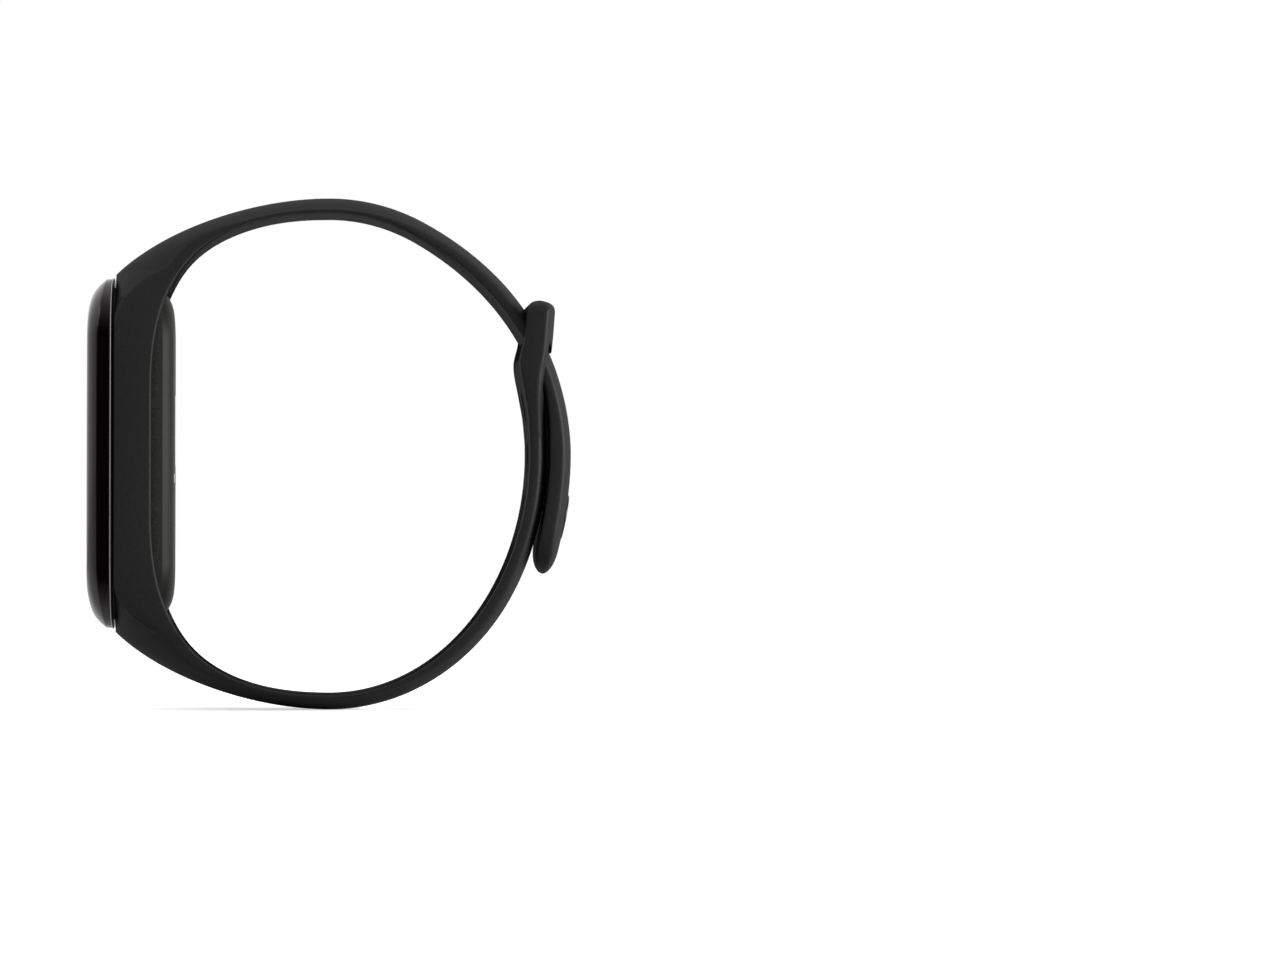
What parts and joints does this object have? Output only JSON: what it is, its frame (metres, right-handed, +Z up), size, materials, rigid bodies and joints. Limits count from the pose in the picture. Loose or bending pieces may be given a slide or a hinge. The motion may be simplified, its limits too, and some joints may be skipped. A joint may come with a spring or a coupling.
{
  "type": "fitness tracker band",
  "caption": "Wrist band closed by a keeper loop and stud, carrying a pill-shaped capsule with a curved smoked display cover, a touch pad and a wrist sensor.",
  "frame": {"origin": "on the wrist's axis, in the middle of the closed loop, level with the middle of the capsule", "axes": "+X along the wrist, across the strap's width; +Y from the display towards the clasp, so the display faces -Y; +Z up, along the capsule's length"},
  "size_m": [0.0196, 0.0643, 0.0686],
  "materials": {
    "strap": "matt moulded elastomer",
    "stud": "polished black",
    "smoked_cover": "polished, smoked",
    "bezel": "polished",
    "rear_shell": "fine spark-eroded texture",
    "sensor_cover": "polished, dark tinted",
    "gold_pads": "gold plated",
    "black_print": "printed",
    "glue": "adhesive film",
    "gasket": "matt",
    "display": "polished",
    "ribbon": "polyimide film",
    "copper_foil": "rolled foil",
    "frame_plastic": "moulded",
    "board": "solder mask",
    "chips": "moulded epoxy",
    "shield": "tinned sheet",
    "ceramic_chip": "fired",
    "battery": "laminated foil pouch",
    "tape": "double-sided tape",
    "weight": "sintered tungsten alloy",
    "foam": "closed-cell foam",
    "led": "clear encapsulant"
  },
  "bodies": {
    "strap": {"strap_band": "strap"},
    "tail": {"strap_tail": "strap", "clasp_stud": "stud"},
    "capsule": {"front_lens": "smoked_cover", "bezel_ring": "bezel", "rear_housing": "rear_shell", "sensor_window": "sensor_cover", "charging_contacts": "gold_pads", "lens_mask": "black_print", "lens_adhesive": "glue", "seal_gasket": "gasket", "display_adhesive": "glue", "display_panel": "display", "display_flex": "ribbon", "touch_electrode": "copper_foil", "touch_contact": "gold_pads", "inner_frame": "frame_plastic", "main_board": "board", "board_chips": "chips", "shield_can": "shield", "antenna": "ceramic_chip", "battery_cell": "battery", "battery_tape": "tape", "motor_base": "shield", "motor_can": "shield", "motor_shaft": "shield", "sensor_foam": "foam", "sensor_board": "ribbon", "sensor_leds": "led", "photodiode": "chips", "light_baffle": "frame_plastic", "sensor_flex": "ribbon"},
    "motor_rotor": {"motor_disc": "board", "motor_weight": "weight"}
  },
  "joints": [
    {"name": "tail_lift", "type": "hinge", "parent": "strap", "child": "tail", "pos_m": [0, 0.02625, 0.01443], "axis": [1, 0, 0], "range_deg": [0, 45]},
    {"name": "capsule_release", "type": "slide", "parent": "strap", "child": "capsule", "axis": [0, -1, 0], "range_m": [0, 0.014]},
    {"name": "motor_spin", "type": "hinge", "parent": "capsule", "child": "motor_rotor", "pos_m": [0, -0.0285, -0.0158], "axis": [0, 1, 0], "continuous": true}
  ]
}
